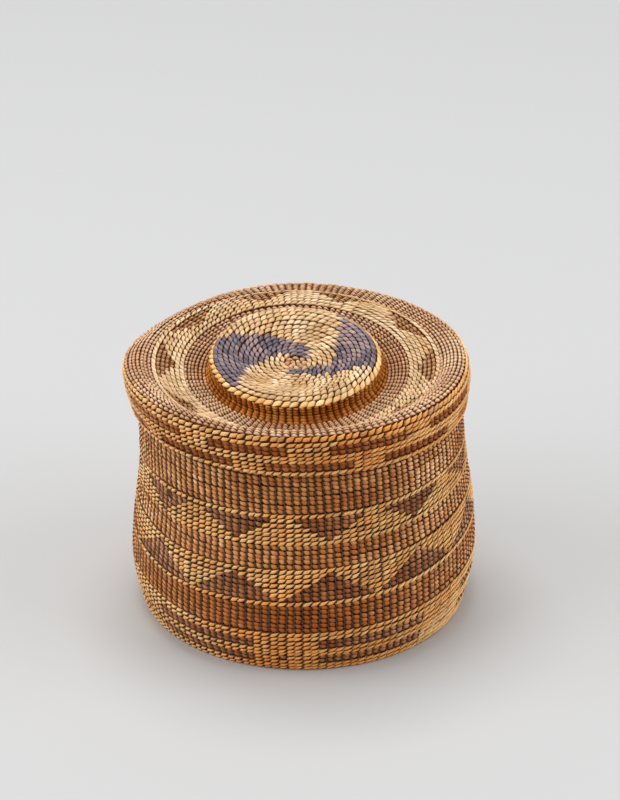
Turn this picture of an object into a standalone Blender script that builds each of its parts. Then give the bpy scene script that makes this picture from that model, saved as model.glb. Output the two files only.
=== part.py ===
"""A round lidded basket of twined root with grass overlay and a rattle in the knob of its lid.

Units are metres, with +Z up. The basket stands on z = 0, its front faces -Y, and the origin lies
under the middle of the foot. Turned pieces are made true and round first, and are then settled
into the leaning, slumped shape of the old basket.
"""
import math

import bmesh
import bpy
from mathutils import Matrix, Vector

MM = 0.001
UP = Vector((0.0, 0.0, 1.0))

# Fabric of the body, measured to its outer face under the overlay
FOOT_RADIUS = 65.2 * MM
FOOT_ROUNDING = 1.4 * MM
BELLY_RADIUS = 70.2 * MM
BELLY_HEIGHT = 19.0 * MM
WAIST_RADIUS = 65.6 * MM
WAIST_HEIGHT = 74.0 * MM
MOUTH_INSET = 2.4 * MM
BODY_FABRIC = 1.9 * MM
EDGING_THICKNESS = 2.2 * MM

# Fabric of the lid, measured to its outer face under the overlay, down from its shoulder
SHOULDER_HEIGHT = 108.3 * MM
MOUTH_DROP = 6.8 * MM
CORNER_DROP = 1.2 * MM
RING_DROP = 2.9 * MM
CROWN_DROP = 5.8 * MM
SUNK_DROP = 6.8 * MM
KNOB_TOP_DROP = -0.1 * MM
FLANGE_DEPTH = 17.7 * MM
LID_FABRIC = 1.4 * MM

# Fabric of the lid, out from the body or in from its shoulder
FLANGE_PLAY = 1.4 * MM
FLANGE_FLARE = 1.7 * MM
CORNER_ROUNDING = 1.3 * MM
SHOULDER_INSET = 4.2 * MM
RING_INSET = 7.3 * MM
CROWN_INSET = 11.1 * MM
KNOB_RADIUS = 34.4 * MM
KNOB_ROUNDING = 1.2 * MM
KNOB_FILLET = 2.0 * MM
KNOB_DISH = 3.6 * MM

# Rattle in the knob
FLOOR_MARGIN = 1.6 * MM
FLOOR_THICKNESS = 1.2 * MM
PEBBLE_COUNT = 6
PEBBLE_LENGTH = 3.2 * MM
PEBBLE_THICKNESS = 2.4 * MM
PEBBLE_RING_RADIUS = 16.5 * MM
PEBBLE_RING_STEP = 1.9 * MM
PEBBLE_TURN = math.radians(137.5)

# Grooves between the rows of plain root
ROW_GROOVE = 0.55 * MM

# Overlay of grass on the fabric
OVERLAY_THICKNESS = 0.45 * MM
SEAT_GAP = 0.3 * MM
ROW_PITCH = 1.98 * MM
LID_ROW_PITCH = 1.93 * MM
STITCHES_ROUND = 132
LID_STITCHES_ROUND = 110

# Pattern bands, in rows counted up from the foot
FOOT_ROWS = 10
FOOT_TIERS = ((2, 4), (6, 8))
FOOT_REPEATS = 6
FOOT_OPENING_STITCHES = 14
FOOT_TURN = math.radians(-35.0)
LOWER_COURSE_ROW = 16
LOWER_CROWN_ROW = 23
LOWER_TOOTH_ROWS = 6
UPPER_CROWN_ROW = 29
UPPER_TOOTH_ROWS = 5
UPPER_COURSE_ROW = 35
CROWN_REPEATS = 11
CROWN_TURN = math.radians(-7.0)

# Pattern of the lid
FLANGE_ROWS = 8
FLANGE_TIERS = ((1, 3), (5, 7))
FLANGE_REPEATS = 9
FLANGE_OPENING_STITCHES = 11
FLANGE_TURN = math.radians(3.5)
CORNER_COURSE_ROWS = 1.15
LID_CROWN_REPEATS = 10
LID_TOOTH_ROWS = 5
LID_CROWN_TURN = math.radians(-2.0)
SWIRL_EYE_RADIUS = 3.8 * MM

# Arms of the swirl seen from above: degrees from +X, inner and outer radius in millimetres
SWIRL_LEFT_ARM = (
    (37, 5.2, 8.0),
    (82, 5.2, 12.8),
    (111, 5.6, 16.5),
    (133, 6.9, 22.5),
    (157, 9.2, 29.0),
    (168, 11.2, 36.0),
    (182, 14.2, 37.5),
    (208, 22.5, 37.5),
    (219, 27.5, 37.5),
    (227, 34.5, 37.5),
)
SWIRL_RIGHT_ARM = (
    (247, 5.2, 7.6),
    (284, 5.2, 8.6),
    (318, 6.0, 13.0),
    (331, 7.0, 20.0),
    (341, 8.6, 27.0),
    (348, 10.6, 36.0),
    (358, 14.6, 37.5),
    (379, 17.2, 37.5),
    (395, 19.5, 37.5),
    (407, 26.5, 37.5),
    (419, 34.5, 37.5),
)

# Shape the basket has settled into
LEAN = 3.5 * MM
LEAN_POWER = 4
ROW_CLIMB = 0.035
SIDE_CLIMB = 5.0 * MM
SIDE_CLIMB_START = 20.0 * MM
SIDE_CLIMB_RUN = 50.0 * MM
LEFT_CLIMB = 2.8 * MM
LEFT_CLIMB_START = 38.0 * MM
LEFT_CLIMB_RUN = 25.0 * MM
LEFT_CLIMB_FOOT = 15.0 * MM
LEFT_CLIMB_TOP = 52.0 * MM
LEFT_CLIMB_END = 70.0 * MM
LID_SLUMP = 0.14
SLUMP_MARGIN = 1.2 * MM
EDGE_DROOP = 4.4 * MM
EDGE_DROOP_TURN = math.radians(-123.0)
EDGE_DROOP_SPREAD = math.radians(31.0)
EDGE_DROOP_RUN = 9.0 * MM

# Reach of the cutters to each side of the overlay that they cut
CUTTER_REACH = 7.0 * MM

# Fineness of the faceted surfaces
SIDES = 36
FABRIC_TOLERANCE = 0.16 * MM
OVERLAY_TOLERANCE = 0.08 * MM
PATH_STEPS = 24

COLOURS = {
    "root": (0.30, 0.150, 0.072),
    "root_pale": (0.42, 0.245, 0.140),
    "straw": (0.62, 0.36, 0.13),
    "straw_pale": (0.74, 0.52, 0.27),
    "dyed": (0.145, 0.125, 0.170),
    "stone": (0.34, 0.31, 0.28),
}


def mouth_height():
    """Height of the body's mouth, under the lid."""
    return SHOULDER_HEIGHT - MOUTH_DROP


def corner_height():
    """Height of the corner where the lid's flange turns into its top."""
    return SHOULDER_HEIGHT - CORNER_DROP


def flange_edge_height():
    """Height of the flange's lower edge."""
    return corner_height() - FLANGE_DEPTH


def make_collection(name, shown):
    """Make a collection in the scene, shown or kept for cutters."""
    collection = bpy.data.collections.new(name)
    bpy.context.scene.collection.children.link(collection)
    collection.hide_render = not shown
    collection.hide_viewport = False
    return collection


def make_material(name, colour, roughness):
    """Make a plain surface in one colour."""
    material = bpy.data.materials.new(name)
    material.use_nodes = True
    shader = material.node_tree.nodes["Principled BSDF"]
    shader.inputs["Base Color"].default_value = (*colour, 1.0)
    shader.inputs["Roughness"].default_value = roughness
    shader.inputs["Metallic"].default_value = 0.0
    return material


def ease(share):
    """Run from 0 to 1 with level ends."""
    share = min(1.0, max(0.0, share))
    return share * share * (3.0 - 2.0 * share)


def wall_radius(height):
    """Outer radius of the body's fabric: foot, low belly, high waist and drawn-in mouth."""
    if height < BELLY_HEIGHT:
        rise = math.sin(0.5 * math.pi * height / BELLY_HEIGHT)
        return FOOT_RADIUS + (BELLY_RADIUS - FOOT_RADIUS) * rise
    if height < WAIST_HEIGHT:
        turn = math.pi * (height - BELLY_HEIGHT) / (WAIST_HEIGHT - BELLY_HEIGHT)
        return BELLY_RADIUS + (WAIST_RADIUS - BELLY_RADIUS) * 0.5 * (1.0 - math.cos(turn))
    turn = 0.5 * math.pi * (height - WAIST_HEIGHT) / (mouth_height() - WAIST_HEIGHT)
    return WAIST_RADIUS - MOUTH_INSET * (1.0 - math.cos(turn))


def slope_at(before, place, after):
    """Slope of a smooth path through three places, per unit of its length."""
    back = (place - before).length
    ahead = (after - place).length
    return ((after - place) * (back / ahead) + (place - before) * (ahead / back)) / (back + ahead)


def curve_through(stations):
    """Smooth 2D path through stations that may lie close together or far apart."""
    ends = [stations[0] * 2 - stations[1]] + stations + [stations[-1] * 2 - stations[-2]]
    slopes = [slope_at(*ends[k: k + 3]) for k in range(len(stations))]
    path = []
    for k in range(len(stations) - 1):
        start = stations[k]
        end = stations[k + 1]
        span = (end - start).length
        for step in range(PATH_STEPS):
            t = step / PATH_STEPS
            share = t * t * (3.0 - 2.0 * t)
            leave = slopes[k] * (span * t * (1.0 - t) ** 2)
            arrive = slopes[k + 1] * (span * t * t * (1.0 - t))
            path.append(start.lerp(end, share) + leave - arrive)
    path.append(stations[-1])
    return path


class Path:
    """A 2D path of radius and height that is read by the length along it."""

    def __init__(self, points):
        self.points = points
        self.lengths = [0.0]
        for start, end in zip(points, points[1:]):
            self.lengths.append(self.lengths[-1] + (end - start).length)

    def length_at(self, station):
        """Length along the path to its point nearest a station."""
        nearest = min(range(len(self.points)), key=lambda k: (self.points[k] - station).length)
        return self.lengths[nearest]

    def point(self, length):
        """Point at a length along the path."""
        length = min(self.lengths[-1], max(0.0, length))
        for k in range(1, len(self.lengths)):
            if length <= self.lengths[k]:
                break
        share = (length - self.lengths[k - 1]) / (self.lengths[k] - self.lengths[k - 1])
        return self.points[k - 1].lerp(self.points[k], share)

    def stretch(self, start, end, lift):
        """Part of the path between two lengths, lifted off it along its outward normal."""
        reach = self.lengths[-1] / len(self.points)
        inner = [length for length in self.lengths if start < length < end]
        lifted = []
        for length in [start] + inner + [end]:
            along = self.point(length + reach) - self.point(length - reach)
            outward = Vector((along.y, -along.x)).normalized()
            lifted.append(self.point(length) + outward * lift)
        return lifted


def flange_edge_radius():
    """Outer radius of the flange's lower edge, loose round the body."""
    return wall_radius(flange_edge_height()) + FLANGE_PLAY + LID_FABRIC


def shoulder_radius():
    """Radius of the lid's highest ring."""
    return flange_edge_radius() + FLANGE_FLARE - SHOULDER_INSET


def crown_radius():
    """Radius of the straw ring that the lid's teeth stand on."""
    return shoulder_radius() - RING_INSET - CROWN_INSET


def lid_stations():
    """Named places on the lid's outer face, from the flange's edge to the middle of the knob."""
    edge = Vector((flange_edge_radius(), flange_edge_height()))
    flange_top = Vector((edge.x + FLANGE_FLARE, corner_height() - CORNER_ROUNDING))
    corner = Vector((flange_top.x - 0.25 * CORNER_ROUNDING, corner_height()))
    shoulder = Vector((shoulder_radius(), SHOULDER_HEIGHT))
    ring = Vector((shoulder.x - RING_INSET, SHOULDER_HEIGHT - RING_DROP))
    inside = shoulder.lerp(ring, 0.44) + Vector((0.0, 0.15 * RING_DROP))
    crown = Vector((crown_radius(), SHOULDER_HEIGHT - CROWN_DROP))
    slope = ring.lerp(crown, 0.5) + Vector((0.0, -0.05 * CROWN_DROP))
    sunk_height = SHOULDER_HEIGHT - SUNK_DROP
    top_height = SHOULDER_HEIGHT - KNOB_TOP_DROP
    knob_foot = Vector((KNOB_RADIUS + KNOB_FILLET, sunk_height))
    floor = knob_foot.lerp(crown, 0.45) + Vector((0.0, -0.04 * CROWN_DROP))
    knob_side = Vector((KNOB_RADIUS, sunk_height + KNOB_FILLET))
    knob_top = Vector((KNOB_RADIUS, top_height - KNOB_ROUNDING))
    knob_edge = Vector((KNOB_RADIUS - KNOB_ROUNDING, top_height))
    dish = Vector((0.5 * KNOB_RADIUS, top_height - 0.75 * KNOB_DISH))
    middle = Vector((0.0, top_height - KNOB_DISH))
    return {
        "edge": edge,
        "flange_top": flange_top,
        "corner": corner,
        "shoulder": shoulder,
        "inside": inside,
        "ring": ring,
        "slope": slope,
        "crown": crown,
        "floor": floor,
        "knob_foot": knob_foot,
        "knob_side": knob_side,
        "knob_top": knob_top,
        "knob_edge": knob_edge,
        "dish": dish,
        "middle": middle,
    }


def lean(height):
    """Sideways shift of the basket at a height, growing toward the lid."""
    return -LEAN * (height / SHOULDER_HEIGHT) ** LEAN_POWER


def settle_body(point):
    """Shift a true point of the body to where the settled basket has it."""
    share = min(1.0, max(0.0, point.z / flange_edge_height()))
    climb = ROW_CLIMB * point.x * math.sin(math.pi * share)
    side = max(0.0, point.x - SIDE_CLIMB_START) / SIDE_CLIMB_RUN
    climb += SIDE_CLIMB * side * side * math.sin(math.pi * share ** 0.7)
    left = max(0.0, -point.x - LEFT_CLIMB_START) / LEFT_CLIMB_RUN
    fade = ease((point.z - LEFT_CLIMB_TOP) / (LEFT_CLIMB_END - LEFT_CLIMB_TOP))
    climb += LEFT_CLIMB * left * left * ease(point.z / LEFT_CLIMB_FOOT) * (1.0 - fade)
    return Vector((point.x + lean(point.z), point.y, point.z + climb))


def slump(x, y):
    """How far the lid's middle has sunk toward the front at a place on it."""
    start = shoulder_radius() + SLUMP_MARGIN
    full = ease((start - math.hypot(x, y)) / (start - SLUMP_MARGIN - crown_radius()))
    return LID_SLUMP * y * full


def droop(x, y):
    """How far the lid's edge hangs lower at its back left, at a place on it."""
    off = math.atan2(x, -y) - EDGE_DROOP_TURN
    off = (off + math.pi) % (2.0 * math.pi) - math.pi
    start = flange_edge_radius() + FLANGE_FLARE - EDGE_DROOP_RUN
    outward = ease((math.hypot(x, y) - start) / EDGE_DROOP_RUN)
    return EDGE_DROOP * outward * math.exp(-(off / EDGE_DROOP_SPREAD) ** 2)


def settle_lid(point):
    """Shift a true point of the lid to where the settled lid has it."""
    sink = slump(point.x, point.y) - droop(point.x, point.y)
    return Vector((point.x + lean(point.z), point.y, point.z + sink))


def distance_to_chord(point, start, end, settle):
    """Distance of a path's point from a chord of it, once settled at the front or at the side."""
    widest = 0.0
    for side in (Vector((0.0, -1.0, 0.0)), Vector((1.0, 0.0, 0.0))):
        spots = [settle(side * place.x + UP * place.y) for place in (point, start, end)]
        chord = (spots[2] - spots[1]).normalized()
        offset = spots[0] - spots[1]
        widest = max(widest, (offset - chord * offset.dot(chord)).length)
    return widest


def thin(points, tolerance, settle):
    """Keep only the points of a path that its settled shape needs."""
    if len(points) < 3:
        return points
    gaps = [distance_to_chord(point, points[0], points[-1], settle) for point in points[1:-1]]
    widest = max(gaps)
    if widest < tolerance:
        return [points[0], points[-1]]
    middle = gaps.index(widest) + 1
    return thin(points[: middle + 1], tolerance, settle)[:-1] + thin(points[middle:], tolerance, settle)


def dress(piece, material):
    """Give a piece its surface, shaded smooth with crisp edges."""
    piece.data.name = piece.name
    piece.data.materials.clear()
    piece.data.materials.append(material)
    piece.data.shade_smooth()
    piece.data.set_sharp_from_angle(angle=math.radians(40.0))


def turn_shell(name, path, thickness, outward, settle, collection):
    """Turn a path about the Z axis and give the surface a thickness."""
    mesh = bpy.data.meshes.new(name)
    tolerance = OVERLAY_TOLERANCE if outward else FABRIC_TOLERANCE
    points = [(point.x, 0.0, point.y) for point in thin(path, tolerance, settle)]
    edges = [(k, k + 1) for k in range(len(points) - 1)]
    mesh.from_pydata(points, edges, [])
    piece = bpy.data.objects.new(name, mesh)
    collection.objects.link(piece)
    screw = piece.modifiers.new("turn", "SCREW")
    screw.steps = SIDES
    screw.render_steps = SIDES
    screw.use_merge_vertices = True
    screw.merge_threshold = 0.00001
    shell = piece.modifiers.new("thickness", "SOLIDIFY")
    shell.thickness = thickness
    shell.offset = 1.0 if outward else -1.0
    shell.use_even_offset = True
    return piece


def settle_piece(piece, settle, material):
    """Turn a piece's modifiers into a mesh and settle it."""
    bpy.context.view_layer.update()
    graph = bpy.context.evaluated_depsgraph_get()
    mesh = bpy.data.meshes.new_from_object(piece.evaluated_get(graph))
    piece.modifiers.clear()
    piece.data = mesh
    for vertex in mesh.vertices:
        vertex.co = settle(vertex.co)
    dress(piece, material)


def cut(piece, cutter, operation="DIFFERENCE"):
    """Cut a piece with a cutter, or keep only what lies inside it."""
    boolean = piece.modifiers.new(cutter.name, "BOOLEAN")
    boolean.operation = operation
    boolean.solver = "EXACT"
    boolean.object = cutter


def prism(outline, depth):
    """Closed prism over a 2D outline in XY, from z = -depth/2 to depth/2."""
    shape = bmesh.new()
    base = shape.faces.new([shape.verts.new((x, y, -0.5 * depth)) for x, y in outline])
    raised = bmesh.ops.extrude_face_region(shape, geom=[base])
    moved = [item for item in raised["geom"] if isinstance(item, bmesh.types.BMVert)]
    bmesh.ops.translate(shape, verts=moved, vec=(0.0, 0.0, depth))
    bmesh.ops.recalc_face_normals(shape, faces=shape.faces[:])
    return shape


def ring_of_prisms(name, outline, places, settle, collection):
    """One cutter made of a prism set at each of several places, settled like the piece it cuts."""
    joined = bmesh.new()
    for place in places:
        shape = prism(outline, 2.0 * CUTTER_REACH)
        shape.transform(place)
        mesh = bpy.data.meshes.new(name)
        shape.to_mesh(mesh)
        shape.free()
        joined.from_mesh(mesh)
        bpy.data.meshes.remove(mesh)
    mesh = bpy.data.meshes.new(name)
    joined.to_mesh(mesh)
    joined.free()
    for vertex in mesh.vertices:
        vertex.co = settle(vertex.co)
    cutter = bpy.data.objects.new(name, mesh)
    cutter.hide_render = True
    cutter.display_type = "WIRE"
    collection.objects.link(cutter)
    return cutter


def angles_round(repeats, first):
    """Even angles round the basket, counted from the front toward +X."""
    return [first + 2.0 * math.pi * k / repeats for k in range(repeats)]


def on_wall(angle, radius, height):
    """Place whose X runs round the wall, Y up it and Z out of it."""
    out = Vector((math.sin(angle), -math.cos(angle), 0.0))
    along = Vector((math.cos(angle), math.sin(angle), 0.0))
    centre = out * radius + UP * height
    return Matrix((
        (along.x, UP.x, out.x, centre.x),
        (along.y, UP.y, out.y, centre.y),
        (along.z, UP.z, out.z, centre.z),
        (0.0, 0.0, 0.0, 1.0),
    ))


def on_top(angle, radius, height):
    """Place whose Y runs outward over the lid's top and Z up from it."""
    turn = Matrix.Rotation(angle + math.pi, 4, "Z")
    return turn @ Matrix.Translation((0.0, radius, height))


def oblong(width, height):
    """Rectangle about the origin."""
    x = 0.5 * width
    y = 0.5 * height
    return [(-x, -y), (x, -y), (x, y), (-x, y)]


def stepped_gap(rows, stitch, row_pitch, overshoot):
    """Outline of the gap between two stepped teeth: one stitch at Y = 0, wider row by row."""
    right = []
    for row in range(rows):
        half = (0.5 + row) * stitch
        right.append((half, row * row_pitch))
        right.append((half, (row + 1) * row_pitch))
    right[-1] = (right[-1][0], rows * row_pitch + overshoot)
    left = [(-x, y) for x, y in reversed(right)]
    return right + left


def wall_path(low_row, high_row, low_trim=0.5, high_trim=0.5):
    """Path down the wall over some rows, a seat gap clear of the fabric and of the next course."""
    top = high_row * ROW_PITCH - high_trim * SEAT_GAP
    bottom = low_row * ROW_PITCH + low_trim * SEAT_GAP
    steps = 3 * (high_row - low_row)
    heights = [top + (bottom - top) * k / steps for k in range(steps + 1)]
    return [Vector((wall_radius(z) + SEAT_GAP, z)) for z in heights]


def grooved_rows():
    """Rows with a groove under them, where plain root lies on plain root."""
    fields = (
        (FOOT_ROWS, LOWER_COURSE_ROW),
        (LOWER_CROWN_ROW + 1, UPPER_CROWN_ROW),
        (UPPER_COURSE_ROW + 1, math.floor(mouth_height() / ROW_PITCH)),
    )
    return {row for low, high in fields for row in range(low + 1, high)}


def body_path():
    """Outer face of the body, from the mouth down the wall and in under the bottom."""
    grooved = grooved_rows()
    path = [Vector((wall_radius(mouth_height()), mouth_height()))]
    half_rows = math.floor(2.0 * mouth_height() / ROW_PITCH)
    for half_row in range(half_rows - 1, 1, -1):
        height = 0.5 * half_row * ROW_PITCH
        groove = ROW_GROOVE if half_row / 2 in grooved else 0.0
        path.append(Vector((wall_radius(height) - groove, height)))
    for k in range(5):
        turn = 0.5 * math.pi * k / 4
        x = wall_radius(FOOT_ROUNDING) - FOOT_ROUNDING * (1.0 - math.cos(turn))
        path.append(Vector((x, FOOT_ROUNDING * (1.0 - math.sin(turn)))))
    path.append(Vector((0.0, 0.0)))
    return path


def build_body(parts, surfaces):
    """Body fabric with its mouth edging."""
    body = turn_shell("basket_body", body_path(), BODY_FABRIC, False, settle_body, parts)
    settle_piece(body, settle_body, surfaces["root"])
    bpy.ops.mesh.primitive_torus_add(
        major_segments=SIDES,
        minor_segments=8,
        major_radius=wall_radius(mouth_height()) - 0.5 * BODY_FABRIC,
        minor_radius=0.5 * EDGING_THICKNESS,
        location=(0.0, 0.0, mouth_height() + SEAT_GAP + 0.5 * EDGING_THICKNESS),
    )
    edging = bpy.context.object
    edging.name = "rim_edging"
    for home in list(edging.users_collection):
        home.objects.unlink(edging)
    parts.objects.link(edging)
    edging.data.transform(edging.matrix_world)
    edging.matrix_world = Matrix.Identity(4)
    settle_piece(edging, settle_body, surfaces["root"])


def foot_tier_cutter(number, tier, cutters):
    """Cutter for one tier of openings between straw blocks round the foot."""
    low, high = tier
    height = 0.5 * (low + high) * ROW_PITCH
    radius = wall_radius(height)
    width = FOOT_OPENING_STITCHES * 2.0 * math.pi * radius / STITCHES_ROUND
    places = [on_wall(angle, radius, height) for angle in angles_round(FOOT_REPEATS, FOOT_TURN)]
    outline = oblong(width, (high - low) * ROW_PITCH)
    return ring_of_prisms(f"foot_cutter_{number}", outline, places, settle_body, cutters)


def crown_cutter(name, row, rows, upward, cutters):
    """Cutter for the gaps between the stepped teeth that stand on or hang from a course."""
    start = (row + 1) * ROW_PITCH if upward else row * ROW_PITCH
    middle = start + (0.5 if upward else -0.5) * rows * ROW_PITCH
    radius = wall_radius(middle)
    stitch = 2.0 * math.pi * radius / STITCHES_ROUND
    half_repeat = math.pi / CROWN_REPEATS
    places = []
    for angle in angles_round(CROWN_REPEATS, CROWN_TURN + half_repeat):
        place = on_wall(angle, radius, start)
        if not upward:
            place = place @ Matrix.Rotation(math.pi, 4, "Z")
        places.append(place)
    outline = stepped_gap(rows, stitch, ROW_PITCH, 2.0 * ROW_PITCH)
    return ring_of_prisms(name, outline, places, settle_body, cutters)


def wall_piece(name, low_row, high_row, parts, surfaces, low_trim=0.5):
    """Straw overlay over some rows of the wall."""
    path = wall_path(low_row, high_row, low_trim)
    piece = turn_shell(name, path, OVERLAY_THICKNESS, True, settle_body, parts)
    settle_piece(piece, settle_body, surfaces["straw"])
    return piece


def build_wall_overlay(parts, cutters, surfaces):
    """Grass overlay on the wall: foot, two single courses and two crowns of stepped teeth."""
    foot = wall_piece("foot_overlay", 0, FOOT_ROWS, parts, surfaces, FOOT_ROUNDING / SEAT_GAP)
    for number, tier in enumerate(FOOT_TIERS, 1):
        cut(foot, foot_tier_cutter(number, tier, cutters))
    wall_piece("lower_course", LOWER_COURSE_ROW, LOWER_COURSE_ROW + 1, parts, surfaces)
    wall_piece("upper_course", UPPER_COURSE_ROW, UPPER_COURSE_ROW + 1, parts, surfaces)
    low_row = LOWER_CROWN_ROW - LOWER_TOOTH_ROWS
    lower = wall_piece("lower_crown", low_row, LOWER_CROWN_ROW + 1, parts, surfaces)
    cut(lower, crown_cutter("lower_crown_cutter", LOWER_CROWN_ROW, LOWER_TOOTH_ROWS, False, cutters))
    high_row = UPPER_CROWN_ROW + 1 + UPPER_TOOTH_ROWS
    upper = wall_piece("upper_crown", UPPER_CROWN_ROW, high_row, parts, surfaces)
    cut(upper, crown_cutter("upper_crown_cutter", UPPER_CROWN_ROW, UPPER_TOOTH_ROWS, True, cutters))


def lid_piece(name, path, start, end, parts, material):
    """Overlay piece that follows the lid's outer face between two lengths along it."""
    stretch = path.stretch(start, end, SEAT_GAP)
    piece = turn_shell(name, list(reversed(stretch)), OVERLAY_THICKNESS, True, settle_lid, parts)
    settle_piece(piece, settle_lid, material)
    return piece


def build_flange_overlay(path, corner_length, parts, cutters, straw):
    """Overlay of the flange: edge course, band with two tiers of openings and shoulder course."""
    half_gap = 0.5 * SEAT_GAP
    row = (corner_length - CORNER_COURSE_ROWS * LID_ROW_PITCH) / FLANGE_ROWS
    band_end = FLANGE_ROWS * row
    lid_piece("flange_edge_course", path, half_gap, row - half_gap, parts, straw)
    band = lid_piece("flange_overlay", path, row + half_gap, band_end - half_gap, parts, straw)
    for number, (low, high) in enumerate(FLANGE_TIERS):
        middle = path.point(0.5 * (low + high) * row)
        stitch = 2.0 * math.pi * middle.x / STITCHES_ROUND
        first = FLANGE_TURN + number * math.pi / FLANGE_REPEATS
        places = [on_wall(angle, middle.x, middle.y) for angle in angles_round(FLANGE_REPEATS, first)]
        outline = oblong(FLANGE_OPENING_STITCHES * stitch, (high - low) * row)
        name = f"flange_cutter_{number + 1}"
        cut(band, ring_of_prisms(name, outline, places, settle_lid, cutters))
    end = corner_length + 0.6 * LID_ROW_PITCH
    lid_piece("shoulder_course", path, band_end + half_gap, end, parts, straw)


def build_top_overlay(path, stations, parts, cutters, straw):
    """Straw ring and crown of stepped teeth on the sunken top of the lid."""
    half_gap = 0.5 * SEAT_GAP
    ring = path.length_at(stations["ring"])
    crown = path.length_at(stations["crown"])
    row = (crown - ring) / (LID_TOOTH_ROWS + 1)
    middle = ring + 0.5 * row
    lid_piece("lid_ring_course", path, ring - 0.5 * row, middle - half_gap, parts, straw)
    teeth = lid_piece("lid_crown", path, middle + half_gap, crown + 0.5 * row, parts, straw)
    root = path.point(crown - 0.5 * row)
    tip = path.point(middle)
    run = (tip.x - root.x) / LID_TOOTH_ROWS
    stitch = math.pi * (tip.x + root.x) / LID_STITCHES_ROUND
    angles = angles_round(LID_CROWN_REPEATS, LID_CROWN_TURN + math.pi / LID_CROWN_REPEATS)
    places = [on_top(angle, root.x, root.y) for angle in angles]
    outline = stepped_gap(LID_TOOTH_ROWS, stitch, run, 2.0 * run)
    name = "lid_crown_cutter"
    cut(teeth, ring_of_prisms(name, outline, places, settle_lid, cutters))


def arm_station(stations, share):
    """Angle, inner and outer radius of a swirl arm at a share of the way along it."""
    place = share * (len(stations) - 1)
    k = min(len(stations) - 2, int(place))
    angle, inner, outer = (a + (b - a) * (place - k) for a, b in zip(stations[k], stations[k + 1]))
    return math.radians(angle), inner * MM, outer * MM


def arm_side(places, grow):
    """Points of one side of an arm, moved off it by a clearance; a negative one moves it inward."""
    spots = [Vector((radius * math.cos(angle), radius * math.sin(angle))) for angle, radius in places]
    moved = []
    for k, spot in enumerate(spots):
        along = (spots[min(k + 1, len(spots) - 1)] - spots[max(k - 1, 0)]).normalized()
        moved.append(spot + Vector((along.y, -along.x)) * grow)
    return moved


def comma_outline(stations, grow):
    """Outline of a swirl arm seen from above, grown on every side by a clearance."""
    steps = 2 * (len(stations) - 1)
    places = [arm_station(stations, k / steps) for k in range(steps + 1)]
    inner = arm_side([(angle, low) for angle, low, high in places], -grow)
    outer = arm_side([(angle, high) for angle, low, high in places], grow)
    across = (outer[0] - inner[0]).normalized()
    back = Vector((across.y, -across.x)) * grow
    blunt = [outer[0] + back, inner[0] + back]
    return [(spot.x, spot.y) for spot in inner + list(reversed(outer)) + blunt]


def build_knob_overlay(path, stations, parts, cutters, surfaces):
    """Edge course, straw field and the two swirl arms let into the field on the knob."""
    straw = surfaces["straw_pale"]
    half_gap = 0.5 * SEAT_GAP
    edge_start = path.length_at(stations["knob_top"]) - SEAT_GAP
    edge_end = path.length_at(stations["knob_edge"]) + 2.0 * SEAT_GAP
    lid_piece("knob_edge_course", path, edge_start, edge_end - half_gap, parts, straw)
    start = edge_end + half_gap
    end = path.lengths[-1] - SWIRL_EYE_RADIUS
    field = lid_piece("knob_field", path, start, end, parts, straw)
    arms = {"knob_swirl_left": SWIRL_LEFT_ARM, "knob_swirl_right": SWIRL_RIGHT_ARM}
    place = Matrix.Translation((0.0, 0.0, stations["dish"].y))
    for name, arm_stations in arms.items():
        gap_outline = comma_outline(arm_stations, SEAT_GAP)
        gap = ring_of_prisms(name + "_gap", gap_outline, [place], settle_lid, cutters)
        cut(field, gap)
        keep_outline = comma_outline(arm_stations, 0.0)
        keep = ring_of_prisms(name + "_keep", keep_outline, [place], settle_lid, cutters)
        arm = lid_piece(name, path, start, end, parts, surfaces["dyed"])
        cut(arm, keep, "INTERSECT")


def build_rattle(parts, surfaces):
    """Woven disc that closes the hollow knob, and the loose pebbles on it."""
    top = SHOULDER_HEIGHT - SUNK_DROP - LID_FABRIC - 2.0 * SEAT_GAP
    edge = KNOB_RADIUS + FLOOR_MARGIN
    path = [Vector((0.0, top)), Vector((edge, top))]
    floor = turn_shell("rattle_floor", path, FLOOR_THICKNESS, False, settle_lid, parts)
    settle_piece(floor, settle_lid, surfaces["root_pale"])
    height = top + SEAT_GAP + 0.5 * PEBBLE_THICKNESS * math.hypot(1.0, LID_SLUMP)
    for number in range(PEBBLE_COUNT):
        angle = number * PEBBLE_TURN
        radius = PEBBLE_RING_RADIUS + number * PEBBLE_RING_STEP
        x = radius * math.cos(angle)
        y = radius * math.sin(angle)
        shape = bmesh.new()
        bmesh.ops.create_icosphere(shape, subdivisions=2, radius=0.5)
        length = PEBBLE_LENGTH * (1.0 - 0.05 * number)
        size = Matrix.Diagonal((length, 0.85 * length, PEBBLE_THICKNESS, 1.0))
        shape.transform(Matrix.Rotation(2.0 * angle, 4, "Z") @ size)
        shape.transform(Matrix.Rotation(math.atan(LID_SLUMP), 4, "X"))
        mesh = bpy.data.meshes.new(f"pebble_{number + 1}")
        shape.to_mesh(mesh)
        shape.free()
        pebble = bpy.data.objects.new(mesh.name, mesh)
        pebble.location = (x + lean(height), y, height + slump(x, y))
        parts.objects.link(pebble)
        dress(pebble, surfaces["stone"])


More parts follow.
